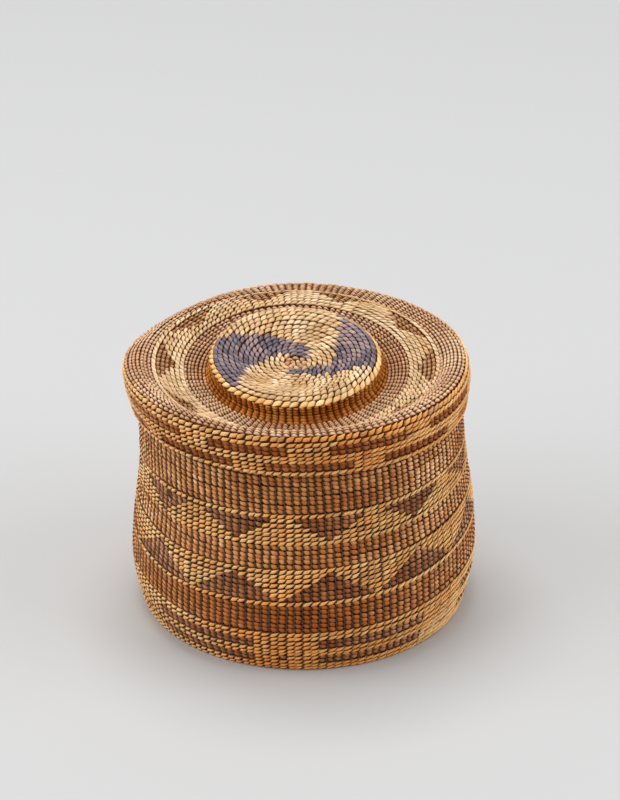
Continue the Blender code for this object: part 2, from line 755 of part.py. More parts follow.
def build_lid(parts, cutters, surfaces):
    """Lid fabric with the overlay and the rattle that it carries."""
    stations = lid_stations()
    path = Path(curve_through(list(stations.values())))
    outer_face = path.stretch(0.0, path.lengths[-1], 0.0)
    outer_face[-1] = stations["middle"]
    shell = turn_shell("lid_shell", list(reversed(outer_face)), LID_FABRIC, False, settle_lid, parts)
    settle_piece(shell, settle_lid, surfaces["root_pale"])
    corner_length = path.length_at(stations["corner"])
    build_flange_overlay(path, corner_length, parts, cutters, surfaces["straw"])
    build_top_overlay(path, stations, parts, cutters, surfaces["straw_pale"])
    build_knob_overlay(path, stations, parts, cutters, surfaces)
    build_rattle(parts, surfaces)


def hang_lid_on_axis(parts, names):
    """Parent the lid's pieces to an empty on the axis of its lift."""
    axis = bpy.data.objects.new("lid_lift_axis", None)
    axis.location = (0.0, 0.0, mouth_height())
    parts.objects.link(axis)
    bpy.context.view_layer.update()
    for name in names:
        piece = parts.objects[name]
        piece.parent = axis
        piece.matrix_parent_inverse = axis.matrix_world.inverted()


def main():
    """Build the whole basket."""
    for old in list(bpy.data.objects):
        bpy.data.objects.remove(old, do_unlink=True)
    parts = make_collection("lidded_basket", True)
    cutters = make_collection("cutters", False)
    surfaces = {name: make_material(name, colour, 0.75) for name, colour in COLOURS.items()}
    build_body(parts, surfaces)
    build_wall_overlay(parts, cutters, surfaces)
    on_body = {piece.name for piece in parts.objects}
    build_lid(parts, cutters, surfaces)
    hang_lid_on_axis(parts, [piece.name for piece in parts.objects if piece.name not in on_body])


main()
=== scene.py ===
"""Looks of a round lidded basket of twined root with grass overlay and a rattle in its knob.

Every stitch is its own small closed form, placed on the same profiles as the solids and settled
into the same leaning, slumped shape. Lengths are in millimetres unless a name says otherwise.
"""
import math

import bpy
import numpy as np
from mathutils import Matrix, Vector


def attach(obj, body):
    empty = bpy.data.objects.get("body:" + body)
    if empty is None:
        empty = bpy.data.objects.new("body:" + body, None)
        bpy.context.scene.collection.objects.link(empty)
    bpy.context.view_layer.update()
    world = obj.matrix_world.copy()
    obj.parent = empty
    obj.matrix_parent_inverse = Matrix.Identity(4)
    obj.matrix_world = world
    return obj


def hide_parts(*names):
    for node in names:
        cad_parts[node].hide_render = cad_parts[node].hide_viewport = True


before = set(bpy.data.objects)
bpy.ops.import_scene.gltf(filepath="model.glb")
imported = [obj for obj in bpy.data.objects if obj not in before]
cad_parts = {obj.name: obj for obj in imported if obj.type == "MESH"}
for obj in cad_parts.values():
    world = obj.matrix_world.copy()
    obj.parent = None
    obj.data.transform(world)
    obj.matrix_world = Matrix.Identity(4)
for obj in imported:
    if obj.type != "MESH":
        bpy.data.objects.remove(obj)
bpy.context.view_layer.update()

MM = 0.001
TURN = 2.0 * math.pi

# Body fabric, as in the solids
FOOT_RADIUS = 65.2
FOOT_ROUNDING = 1.4
BELLY_RADIUS = 70.2
BELLY_HEIGHT = 19.0
WAIST_RADIUS = 65.6
WAIST_HEIGHT = 74.0
MOUTH_INSET = 2.4
BODY_FABRIC = 1.9

# Lid fabric, as in the solids
SHOULDER_HEIGHT = 108.3
MOUTH_DROP = 6.8
CORNER_DROP = 1.2
RING_DROP = 2.9
CROWN_DROP = 5.8
SUNK_DROP = 6.8
KNOB_TOP_DROP = -0.1
FLANGE_DEPTH = 17.7
LID_FABRIC = 1.4
FLANGE_PLAY = 1.4
FLANGE_FLARE = 1.7
CORNER_ROUNDING = 1.3
SHOULDER_INSET = 4.2
RING_INSET = 7.3
CROWN_INSET = 11.1
KNOB_RADIUS = 34.4
KNOB_ROUNDING = 1.2
KNOB_FILLET = 2.0
KNOB_DISH = 3.6
FLOOR_MARGIN = 1.6
SEAT_GAP = 0.3

# Rows and stitches, as in the solids
ROW_PITCH = 1.98
LID_ROW_PITCH = 1.93
WALL_ROWS = 51
WARPS = 132
FOOT_ROWS = 10
FOOT_TIERS = ((2, 4), (6, 8))
FOOT_REPEAT = math.radians(60.0)
FOOT_TURN = math.radians(-35.0)
FOOT_OPENING_WARPS = 14
LOWER_COURSE_ROW = 16
LOWER_CROWN_ROW = 23
LOWER_TOOTH_ROWS = 6
UPPER_CROWN_ROW = 29
UPPER_TOOTH_ROWS = 5
UPPER_COURSE_ROW = 35
CROWN_WARPS = 12
CROWN_TURN = math.radians(-7.0)
FLANGE_ROWS = 8
FLANGE_TIERS = ((1, 3), (5, 7))
FLANGE_REPEAT = math.radians(40.0)
FLANGE_TURN = math.radians(3.5)
FLANGE_OPENING_WARPS = 11
CORNER_COURSE_ROWS = 1.15
LID_WARPS = 110
LID_CROWN_WARPS = 11
LID_TOOTH_ROWS = 5
LID_CROWN_TURN = math.radians(-2.0)

# Arms of the swirl on the knob: degrees round from the right, inner and outer radius
SWIRL_LEFT_ARM = (
    (37, 5.2, 8.0),
    (82, 5.2, 12.8),
    (111, 5.6, 16.5),
    (133, 6.9, 22.5),
    (157, 9.2, 29.0),
    (168, 11.2, 36.0),
    (182, 14.2, 37.5),
    (208, 22.5, 37.5),
    (219, 27.5, 37.5),
    (227, 34.5, 37.5),
)
SWIRL_RIGHT_ARM = (
    (247, 5.2, 7.6),
    (284, 5.2, 8.6),
    (318, 6.0, 13.0),
    (331, 7.0, 20.0),
    (341, 8.6, 27.0),
    (348, 10.6, 36.0),
    (358, 14.6, 37.5),
    (379, 17.2, 37.5),
    (395, 19.5, 37.5),
    (407, 26.5, 37.5),
    (419, 34.5, 37.5),
)

# Settled shape, as in the solids
LEAN = 3.5
LEAN_POWER = 4
ROW_CLIMB = 0.035
LID_SLUMP = 0.14
SLUMP_MARGIN = 1.2
SIDE_CLIMB = 5.0
SIDE_CLIMB_START = 20.0
SIDE_CLIMB_RUN = 50.0
LEFT_CLIMB = 2.8
LEFT_CLIMB_START = 38.0
LEFT_CLIMB_RUN = 25.0
LEFT_CLIMB_FOOT = 15.0
LEFT_CLIMB_TOP = 52.0
LEFT_CLIMB_END = 70.0
EDGE_DROOP = 4.4
EDGE_DROOP_TURN = math.radians(-123.0)
EDGE_DROOP_SPREAD = math.radians(31.0)
EDGE_DROOP_RUN = 9.0

# Rows and stitches that only the scene has
COVERED_ROW = 46
SHOULDER_ROWS = 7
SHOULDER_WARPS = 142
SUNK_ROWS = 6
SUNK_WARPS = 105
KNOB_SIDE_ROWS = 6
KNOB_SIDE_WARPS = 78
KNOB_EDGE_WARPS = 60
KNOB_ROW_PITCH = 2.1
KNOB_STITCH = 3.0
KNOB_ROW_TWIST = 0.9
LINING_ROWS = 15
DISC_ROWS = 17
DISC_STITCH = 3.0
BOTTOM_STITCH = 3.2

# Eye of the swirl, wider than in the solids
SWIRL_EYE_RADIUS = 5.4

# Single flaws in the pattern: a dyed stitch in the foot, a hole in the wall, a crowded gap
STRAY_ROW = 3
STRAY_TURN = math.radians(-8.0)
HOLE_ROWS = (33, 34)
HOLE_TURN = math.radians(-53.0)
CROWDED_TIER = 1
CROWDED_TURN = math.radians(4.5)
CROWDED_REACH = math.radians(7.5)

# Camera fitted to the rings in the photograph
CAMERA_TILT_DEGREES = 27.37
CAMERA_TARGET = (2.64, 0.0, 88.0)
CAMERA_DISTANCE = 1500.0
SENSOR_HEIGHT = 36.0
FOCAL_PIXELS = 3689.5
PHOTO_HEIGHT_PIXELS = 800.0

# Reach of the corner course over the lid's top, and overlap of the next row with it
CORNER_REACH = 0.6
CORNER_OVERLAP = 0.4

# Roll of the rim's binding over the mouth
RIM_ROLL = 0.95
RIM_LIFT = 0.35

# Heights of the stitches' crests off the fabric face
ROOT_CREST = 0.5
GRASS_CREST = 0.75

# Depths of the inner faces and of the cores under the outer face, which are coloured dark as painted shade
INSIDE_DEPTH = BODY_FABRIC - 0.45
WALL_CORE = (-0.80, -1.15)
LID_CORE = (-0.62, -1.0)

# Random spread of each stitch's width, height, lift and place along the row, and of its tilt
STITCH_SPREAD = (0.035, 0.05, 0.055, 0.03)
TILT_SPREAD = 0.07

# Painted shade at the wall's front: loss of red, green and blue there, and how far it spreads in degrees
FRONT_SHADE = (0.26, 0.44, 0.62)
FRONT_SPREAD = 36.0

# Painted shade in the sunken ring: loss of red, green and blue toward the knob, and of all three at its
# front
SUNK_SHADE = (0.0, 0.08, 0.20)
SUNK_FRONT_SHADE = 0.20
SUNK_FRONT_SPREAD = 45.0

# Share of straw stitches that are worn, and how dull they are
WORN_CHANCE = 0.04
WORN_MIX = 0.55

# Places where the straw is orange: degrees from the front, spread in degrees, share
ORANGE_PLACES = {
    "foot_overlay": ((-8.0, 24.0, 0.95), (22.0, 12.0, 0.5)),
    "lower_course": ((-10.0, 24.0, 0.9),),
    "lower_crown": ((-7.0, 15.0, 1.0), (42.0, 14.0, 0.35)),
    "upper_crown": ((19.0, 7.0, 0.7), (-8.0, 12.0, 0.3)),
    "upper_course": ((0.0, 40.0, 0.35),),
    "flange_edge_course": ((10.0, 50.0, 0.4),),
    "flange_overlay": ((12.0, 50.0, 0.8),),
    "shoulder_course": ((18.0, 34.0, 1.0),),
}


def linear(*srgb):
    """Linear colour from 8-bit sRGB values."""
    share = np.array(srgb) / 255.0
    return np.where(share <= 0.04045, share / 12.92, ((share + 0.055) / 1.055) ** 2.4)


ROOT_TONES = (linear(190, 119, 68), linear(220, 156, 101), linear(248, 200, 147))
ROOT_TOP_TONES = (linear(194, 146, 108), linear(216, 170, 132), linear(234, 198, 160))
ROOT_RUST_TONES = (linear(150, 80, 24), linear(178, 104, 38), linear(204, 132, 62))
DYED_ROOT_TONES = (linear(148, 92, 62), linear(178, 122, 88), linear(206, 154, 116))
FLANGE_GROUND_TONES = (linear(146, 82, 44), linear(178, 110, 66), linear(206, 144, 96))
LID_GROUND_TONES = (linear(158, 108, 70), linear(186, 138, 96), linear(212, 168, 124))
STRAW_TONES = (linear(224, 158, 88), linear(242, 186, 114), linear(253, 214, 152))
STRAW_TOP_TONES = (linear(202, 158, 106), linear(225, 189, 141), linear(244, 216, 177))
ORANGE_TONES = (linear(226, 130, 52), linear(244, 160, 76), linear(253, 192, 116))
SWIRL_TONES = (linear(86, 80, 94), linear(136, 120, 126), linear(184, 150, 134))
# Painted shade: dark colours that stitches fade to where they dive and along their edges; the first and the
# last also colour the cores
CREVICE_SHADE = linear(58, 23, 4)
GRASS_GAP_SHADE = linear(112, 62, 26)
LID_CREVICE_SHADE = linear(94, 50, 20)


def wrap(angle):
    """Angle from -half a turn to half a turn."""
    return (angle + np.pi) % TURN - np.pi


def wall_radius(height):
    """Outer radius of the body's fabric at heights."""
    height = np.asarray(height, float)
    foot = FOOT_RADIUS + (BELLY_RADIUS - FOOT_RADIUS) * np.sin(0.5 * np.pi * height / BELLY_HEIGHT)
    turn = np.pi * (height - BELLY_HEIGHT) / (WAIST_HEIGHT - BELLY_HEIGHT)
    belly = BELLY_RADIUS + (WAIST_RADIUS - BELLY_RADIUS) * 0.5 * (1.0 - np.cos(turn))
    turn = 0.5 * np.pi * (height - WAIST_HEIGHT) / (SHOULDER_HEIGHT - MOUTH_DROP - WAIST_HEIGHT)
    mouth = WAIST_RADIUS - MOUTH_INSET * (1.0 - np.cos(turn))
    return np.where(height < BELLY_HEIGHT, foot, np.where(height < WAIST_HEIGHT, belly, mouth))


MOUTH_HEIGHT = SHOULDER_HEIGHT - MOUTH_DROP
CORNER_HEIGHT = SHOULDER_HEIGHT - CORNER_DROP
FLANGE_EDGE_HEIGHT = CORNER_HEIGHT - FLANGE_DEPTH
FLANGE_EDGE_RADIUS = float(wall_radius(FLANGE_EDGE_HEIGHT)) + FLANGE_PLAY + LID_FABRIC
SHOULDER_RADIUS = FLANGE_EDGE_RADIUS + FLANGE_FLARE - SHOULDER_INSET
RING_RADIUS = SHOULDER_RADIUS - RING_INSET
CROWN_RADIUS = RING_RADIUS - CROWN_INSET
SUNK_HEIGHT = SHOULDER_HEIGHT - SUNK_DROP
KNOB_TOP_HEIGHT = SHOULDER_HEIGHT - KNOB_TOP_DROP


def lid_stations():
    """Named places (radius, height) on the lid's outer face, from the flange's edge inward."""
    corner_radius = FLANGE_EDGE_RADIUS + FLANGE_FLARE
    shoulder = np.array((SHOULDER_RADIUS, SHOULDER_HEIGHT))
    ring = np.array((RING_RADIUS, SHOULDER_HEIGHT - RING_DROP))
    crown = np.array((CROWN_RADIUS, SHOULDER_HEIGHT - CROWN_DROP))
    knob_foot = np.array((KNOB_RADIUS + KNOB_FILLET, SUNK_HEIGHT))
    return {
        "edge": (FLANGE_EDGE_RADIUS, FLANGE_EDGE_HEIGHT),
        "flange_top": (corner_radius, CORNER_HEIGHT - CORNER_ROUNDING),
        "corner": (corner_radius - 0.25 * CORNER_ROUNDING, CORNER_HEIGHT),
        "shoulder": shoulder,
        "inside": shoulder + 0.44 * (ring - shoulder) + (0.0, 0.15 * RING_DROP),
        "ring": ring,
        "slope": 0.5 * (ring + crown) - (0.0, 0.05 * CROWN_DROP),
        "crown": crown,
        "floor": knob_foot + 0.45 * (crown - knob_foot) - (0.0, 0.04 * CROWN_DROP),
        "knob_foot": knob_foot,
        "knob_side": (KNOB_RADIUS, SUNK_HEIGHT + KNOB_FILLET),
        "knob_top": (KNOB_RADIUS, KNOB_TOP_HEIGHT - KNOB_ROUNDING),
        "knob_edge": (KNOB_RADIUS - KNOB_ROUNDING, KNOB_TOP_HEIGHT),
        "dish": (0.5 * KNOB_RADIUS, KNOB_TOP_HEIGHT - 0.75 * KNOB_DISH),
        "middle": (0.0, KNOB_TOP_HEIGHT - KNOB_DISH),
    }


def curve_through(stations, steps=24):
    """Smooth path through stations that may lie close together or far apart."""
    ends = [2 * stations[0] - stations[1], *stations, 2 * stations[-1] - stations[-2]]
    slopes = []
    for before, place, after in zip(ends, ends[1:], ends[2:]):
        back = np.linalg.norm(place - before)
        ahead = np.linalg.norm(after - place)
        slopes.append(((after - place) * back / ahead + (place - before) * ahead / back) / (back + ahead))
    path = []
    for k in range(len(stations) - 1):
        t = np.arange(steps)[:, None] / steps
        share = t * t * (3.0 - 2.0 * t)
        span = np.linalg.norm(stations[k + 1] - stations[k])
        leave = slopes[k] * span * t * (1.0 - t) ** 2
        arrive = slopes[k + 1] * span * t * t * (1.0 - t)
        path.append(stations[k] * (1.0 - share) + stations[k + 1] * share + leave - arrive)
    return np.vstack(path + [stations[-1][None, :]])


def ease(share):
    """Smooth step from 0 to 1."""
    share = np.clip(share, 0.0, 1.0)
    return share * share * (3.0 - 2.0 * share)


def lean(z):
    """How far the basket leans to the left at heights."""
    return -LEAN * (z / SHOULDER_HEIGHT) ** LEAN_POWER


def settle_body(points):
    """Shift true points of the body to where the settled basket has them, on the floor."""
    x, y, z = points.T
    share = np.clip(z / FLANGE_EDGE_HEIGHT, 0.0, 1.0)
    climb = ROW_CLIMB * x * np.sin(np.pi * share)
    side = np.maximum(0.0, x - SIDE_CLIMB_START) / SIDE_CLIMB_RUN
    climb = climb + SIDE_CLIMB * side * side * np.sin(np.pi * share ** 0.7)
    left = np.maximum(0.0, -x - LEFT_CLIMB_START) / LEFT_CLIMB_RUN
    fade = ease((z - LEFT_CLIMB_TOP) / (LEFT_CLIMB_END - LEFT_CLIMB_TOP))
    climb = climb + LEFT_CLIMB * left * left * ease(z / LEFT_CLIMB_FOOT) * (1.0 - fade)
    return np.stack((x + lean(z), y, np.maximum(z + climb, 0.02)), axis=1)


def slump(x, y):
    """How far the lid's middle has sunk toward the front at places on it."""
    start = SHOULDER_RADIUS + SLUMP_MARGIN
    return LID_SLUMP * y * ease((start - np.hypot(x, y)) / (start - SLUMP_MARGIN - CROWN_RADIUS))


def droop(x, y):
    """How far the lid's edge hangs lower at its back left, at places on it."""
    off = wrap(np.arctan2(x, -y) - EDGE_DROOP_TURN)
    start = FLANGE_EDGE_RADIUS + FLANGE_FLARE - EDGE_DROOP_RUN
    outward = ease((np.hypot(x, y) - start) / EDGE_DROOP_RUN)
    return EDGE_DROOP * outward * np.exp(-(off / EDGE_DROOP_SPREAD) ** 2)


def settle_lid(points):
    """Shift true points of the lid to where the settled lid has them."""
    x, y, z = points.T
    return np.stack((x + lean(z), y, z + slump(x, y) - droop(x, y)), axis=1)


class Fabric:
    """A turned surface, read by angle from the front and by length along its profile."""

    def __init__(self, path, settle):
        self.path = path
        self.settle = settle
        steps = np.linalg.norm(np.diff(path, axis=0), axis=1)
        self.lengths = np.concatenate(([0.0], np.cumsum(steps)))
        along = np.gradient(path, axis=0)
        along /= np.linalg.norm(along, axis=1)[:, None]
        self.outward = np.stack((along[:, 1], -along[:, 0]), axis=1)

    def length_at(self, radius, height):
        """Length along the path to its point nearest a place."""
        gaps = np.hypot(self.path[:, 0] - radius, self.path[:, 1] - height)
        return float(self.lengths[np.argmin(gaps)])

    def radius_at(self, length):
        """Radius at lengths along the path."""
        return np.interp(length, self.lengths, self.path[:, 0])

    def height_at(self, length):
        """Height at lengths along the path."""
        return np.interp(length, self.lengths, self.path[:, 1])

    def place(self, angle, length, lift):
        """Points in metres at angles and lengths, lifted off the surface."""
        out = [np.interp(length, self.lengths, self.outward[:, k]) for k in (0, 1)]
        over = np.clip(length - self.lengths[-1], 0.0, None)
        radius = self.radius_at(length) + out[0] * lift - over
        height = self.height_at(length) + out[1] * lift
        flat = np.stack((radius * np.sin(angle), -radius * np.cos(angle), height), axis=-1)
        return self.settle(flat.reshape(-1, 3)) * MM


def body_fabric():
    """The body's outer face, from the middle of the bottom out and up to the mouth."""
    bottom = [(r, 0.0) for r in np.linspace(0.0, FOOT_RADIUS - FOOT_ROUNDING, 60)]
    for turn in np.linspace(0.0, 0.5 * np.pi, 8)[1:-1]:
        reach = FOOT_ROUNDING * (1.0 - math.sin(turn))
        bottom.append((float(wall_radius(FOOT_ROUNDING)) - reach, FOOT_ROUNDING * (1.0 - math.cos(turn))))
    heights = np.linspace(FOOT_ROUNDING, MOUTH_HEIGHT, 160)
    wall = np.stack((wall_radius(heights), heights), axis=1)
    return Fabric(np.vstack((bottom, wall)), settle_body)


def lid_fabric():
    """The lid's outer face, from the flange's edge to the middle of the knob."""
    stations = [np.array(place, float) for place in lid_stations().values()]
    return Fabric(curve_through(stations), settle_lid)


def flat_fabric(path, settle):
    """A turned surface along a straight path between two places."""
    return Fabric(np.linspace(path[0], path[1], 60), settle)


WALL_HEIGHTS = np.linspace(0.0, MOUTH_HEIGHT, 160)
WALL = Fabric(np.stack((wall_radius(WALL_HEIGHTS), WALL_HEIGHTS), axis=1), settle_body)
BOTTOM = flat_fabric(((0.0, 0.0), (FOOT_RADIUS - 0.8, 0.0)), settle_body)
BODY = body_fabric()
LID = lid_fabric()
LID_PLACES = {name: LID.length_at(*place) for name, place in lid_stations().items()}


def waves(angle, length, seed, reach=30.0, count=7):
    """Smooth random field round the basket, from about -1 to 1."""
    source = np.random.default_rng(seed)
    total = np.zeros(np.broadcast(angle, length).shape)
    for _ in range(count):
        turns = source.integers(1, 8)
        rise = source.normal() * TURN / reach
        total = total + np.sin(turns * angle + rise * length + source.uniform(0.0, TURN))
    return total / math.sqrt(0.5 * count) * 0.6


class Cells:
    """Places of the stitches of some rows: one entry for each stitch."""

    def __init__(self, fabric, edges, warps, turn=0.0, sway=0.06, seed=1):
        source = np.random.default_rng(seed)
        if np.isscalar(warps):
            warps = [warps] * (len(edges) - 1)
        parts = []
        for row, (low, high, count) in enumerate(zip(edges, edges[1:], warps)):
            columns = (row, np.arange(count), count, 0.5 * (low + high), high - low)
            parts.append(np.stack([np.broadcast_to(column, count) for column in columns], axis=1))
        table = np.vstack(parts)
        self.fabric = fabric
        self.row = table[:, 0].astype(int)
        self.warp = table[:, 1].astype(int)
        self.count = table[:, 2]
        self.length = table[:, 3]
        self.height = table[:, 4]
        pitch = TURN / self.count
        self.true_angle = turn + self.warp * pitch
        most = int(self.count.max())
        offsets = source.normal(size=(len(edges) // 7 + 3, most)) * sway
        knots = np.arange(offsets.shape[0]) * 7.0
        drift = np.empty(len(self.row))
        for warp in range(most):
            mine = self.warp == warp
            drift[mine] = np.interp(self.row[mine], knots, offsets[:, warp])
        self.angle = self.true_angle + drift * pitch
        right = self._neighbour(drift, 1)
        left = self._neighbour(drift, -1)
        self.width = pitch * (1.0 + 0.5 * (right - left))
        wander = waves(self.angle, self.length * 2.0, seed + 40, 9.0)
        self.length = self.length + 0.10 * self.height * wander

    def _neighbour(self, values, step):
        """Value of the next stitch round the same row."""
        result = np.empty_like(values)
        for row in np.unique(self.row):
            mine = np.nonzero(self.row == row)[0]
            result[mine] = np.roll(values[mine], -step)
        return result

    def radius(self):
        """Radius of each stitch."""
        return self.fabric.radius_at(self.length)

    def pick(self, mask):
        """The same table with only some of its stitches."""
        chosen = object.__new__(Cells)
        for name, value in vars(self).items():
            setattr(chosen, name, value if name == "fabric" else value[mask])
        return chosen


def superellipse(turns, power):
    """Cosine and sine of turns, squared off by a power under 1."""
    cosine = np.cos(turns)
    sine = np.sin(turns)
    return np.sign(cosine) * np.abs(cosine) ** power, np.sign(sine) * np.abs(sine) ** power


class Stitch:
    """Form of one stitch in its cell: along the row, up the rows and off the face."""

    def __init__(self, crest, length, slant, shear, half_height, thickness, square, dive, bow=2.6,
                 point=0.35, brow=0.0, top_light=0.0, edge_shade=0.0, sections=8, ring=8):
        u = np.sin(0.5 * np.pi * np.linspace(-1.0, 1.0, sections))[:, None]
        turns = TURN * (np.arange(ring) + 0.5) / ring
        across, off = superellipse(turns, square)
        taper = 1.0 - point * np.abs(u) ** 3
        up = half_height * taper * across
        left, right = dive
        sink = np.where(u < 0.0, left, right) * np.abs(u) ** bow
        body = thickness * (1.0 - 0.25 * np.abs(u) ** 3)
        self.along = 0.5 * length * u + shear * up
        self.up = slant * 0.5 * u + up
        self.off = crest - 0.5 * body + 0.5 * body * off - sink + brow * across
        # Painted shade: how far each point fades to the dark gap colour, more the deeper it dives below the
        # crest, and more along the stitch's upper and lower edges
        depth = np.clip((crest - self.off.ravel() - 0.2) / 1.0, 0.0, 1.0)
        edge = np.broadcast_to(np.abs(across), self.off.shape).ravel()
        self.shade = np.clip(0.85 * depth + edge_shade * np.clip(edge - 0.6, 0.0, 1.0) / 0.4, 0.0, 0.95)
        # Painted light: each stitch lighter along its upper edge and darker along its lower edge, as if lit
        # from above
        self.top_light = 1.0 + top_light * np.broadcast_to(across, self.off.shape).ravel()
        self.local = np.stack(np.broadcast_arrays(u, across, off), axis=-1).reshape(-1, 3)
        quads = []
        for section in range(sections - 1):
            for k in range(ring):
                after = (k + 1) % ring
                base = section * ring
                quads.append((base + k, base + ring + k, base + ring + after, base + after))
        last = (sections - 1) * ring
        for k in range(ring // 2 - 1):
            quads.append((k, k + 1, ring - 2 - k, ring - 1 - k))
            quads.append((last + ring - 1 - k, last + ring - 2 - k, last + k + 1, last + k))
        self.quads = np.array(quads)
        self.corner_uv = self._corner_uv(sections, ring)

    def _corner_uv(self, sections, ring):
        """Flat place of each quad's corners, with the ring cut open."""
        place = []
        for section in range(sections - 1):
            x = (section / (sections - 1), (section + 1) / (sections - 1))
            for k in range(ring):
                y = (k / ring, (k + 1) / ring)
                place.append(((x[0], y[0]), (x[1], y[0]), (x[1], y[1]), (x[0], y[1])))
        for k in range(ring // 2 - 1):
            place.append(((0.0, 0.0), (0.0, 0.05), (0.03, 0.05), (0.03, 0.0)))
            place.append(((1.0, 0.0), (1.0, 0.05), (0.97, 0.05), (0.97, 0.0)))
        return np.array(place)


ROOT = Stitch(
    ROOT_CREST, 1.13, -0.32, 0.0, 0.55, 1.35, 0.80, (1.70, 1.45), 3.0, 0.60, brow=0.30, top_light=0.20, edge_shade=0.10
)
ROOT_TOP = Stitch(
    ROOT_CREST, 1.04, -0.22, 0.0, 0.42, 1.05, 0.80, (1.60, 1.45), 2.6, 0.50, brow=0.08, top_light=0.12, edge_shade=0.50
)
ROOT_BAR = Stitch(
    ROOT_CREST, 1.05, -0.14, 0.0, 0.56, 1.20, 0.85, (1.75, 1.55), 2.5, 0.36, brow=0.22, top_light=0.14, edge_shade=0.20
)
ROOT_PLAIN = Stitch(ROOT_CREST, 1.10, -0.56, 0.0, 0.54, 1.6, 1.0, (1.5, 1.15), bow=2.8, sections=6, ring=6)
GRASS = Stitch(
    GRASS_CREST, 1.02, 0.24, 0.44, 0.42, 0.90, 0.32, (1.35, 1.15), 5.0, 0.12, brow=0.20, top_light=0.14, edge_shade=0.22
)
GRASS_TOP = Stitch(
    GRASS_CREST, 1.05, 0.20, 0.42, 0.44, 0.90, 0.32, (1.05, 0.90), 4.8, 0.10, brow=0.10, top_light=0.08, edge_shade=0.20
)
CORNER = Stitch(
    GRASS_CREST, 1.01, 0.22, 0.48, 0.31, 0.80, 0.28, (1.25, 1.10), 5.5, 0.10, brow=0.15, top_light=0.14, edge_shade=0.20
)
GRAIN = Stitch(
    GRASS_CREST, 1.08, 0.20, 0.38, 0.42, 0.90, 0.38, (1.00, 0.85), 3.8, 0.32, top_light=0.08, edge_shade=0.16
)
GRAIN_EDGE = Stitch(
    0.50, 1.06, 0.20, 0.40, 0.45, 0.75, 0.36, (0.95, 0.85), 3.6, 0.25, top_light=0.10, edge_shade=0.12
)
ROOT_UNDER = Stitch(-0.25, 1.10, -0.50, 0.0, 0.54, 0.80, 0.9, (0.6, 0.6), sections=6, ring=6)
ROOT_RIM = Stitch(0.25, 1.2, -0.7, 0.0, 0.58, 0.9, 0.8, (0.3, 0.3))
FLANGE_LINING = Stitch(0.25, 1.10, -0.50, 0.0, 0.54, 0.8, 0.9, (0.6, 0.6), sections=6, ring=6)
LID_LINING = Stitch(0.2, 1.10, -0.50, 0.0, 0.54, 0.7, 0.9, (0.5, 0.5), sections=6, ring=6)
DISC = Stitch(0.0, 1.22, -0.50, 0.0, 0.62, 1.1, 0.9, (0.4, 0.4), sections=6, ring=6)


def add_mesh(name, points, quads):
    """Mesh object from arrays of points in metres and quads."""
    mesh = bpy.data.meshes.new(name)
    mesh.vertices.add(len(points))
    mesh.vertices.foreach_set("co", np.asarray(points, np.float32).ravel())
    mesh.loops.add(quads.size)
    mesh.loops.foreach_set("vertex_index", quads.astype(np.int32).ravel())
    mesh.polygons.add(len(quads))
    mesh.polygons.foreach_set("loop_start", np.arange(0, quads.size, 4, dtype=np.int32))
    mesh.polygons.foreach_set("use_smooth", np.ones(len(quads), bool))
    mesh.update(calc_edges=True)
    piece = bpy.data.objects.new(name, mesh)
    bpy.context.scene.collection.objects.link(piece)
    return piece


def bake_map(mesh, corner_uv, count):
    """Give each stitch its own cell of a flat map."""
    side = math.ceil(math.sqrt(count))
    cell = np.arange(count)
    corner = np.stack((cell % side, cell // side), axis=1)[:, None, None, :]
    flat = (corner + 0.05 + 0.90 * corner_uv[None]) / side
    layer = mesh.uv_layers.new(name="OFBake")
    layer.data.foreach_set("uv", flat.astype(np.float32).ravel())


def tones(cells, palette, shift=0.0, seed=3, spread=0.16, patch=0.26):
    """Colour of each stitch: between three tones by chance and by smooth patches."""
    source = np.random.default_rng(seed)
    share = 0.5 + shift + spread * source.normal(size=len(cells.angle))
    share = share + patch * waves(cells.true_angle, cells.length, seed + 7, 34.0)
    share = np.clip(share, 0.0, 1.0)[:, None] * 2.0
    low = palette[0] + (palette[1] - palette[0]) * np.clip(share, 0.0, 1.0)
    return low + (palette[2] - palette[1]) * np.clip(share - 1.0, 0.0, 1.0)


def gap_shade(body, slot):
    """Painted shade colour that stitches fade to where they dive into the fabric and along their edges."""
    if slot.startswith("straw"):
        return GRASS_GAP_SHADE
    return LID_CREVICE_SHADE if body == "lid" else CREVICE_SHADE


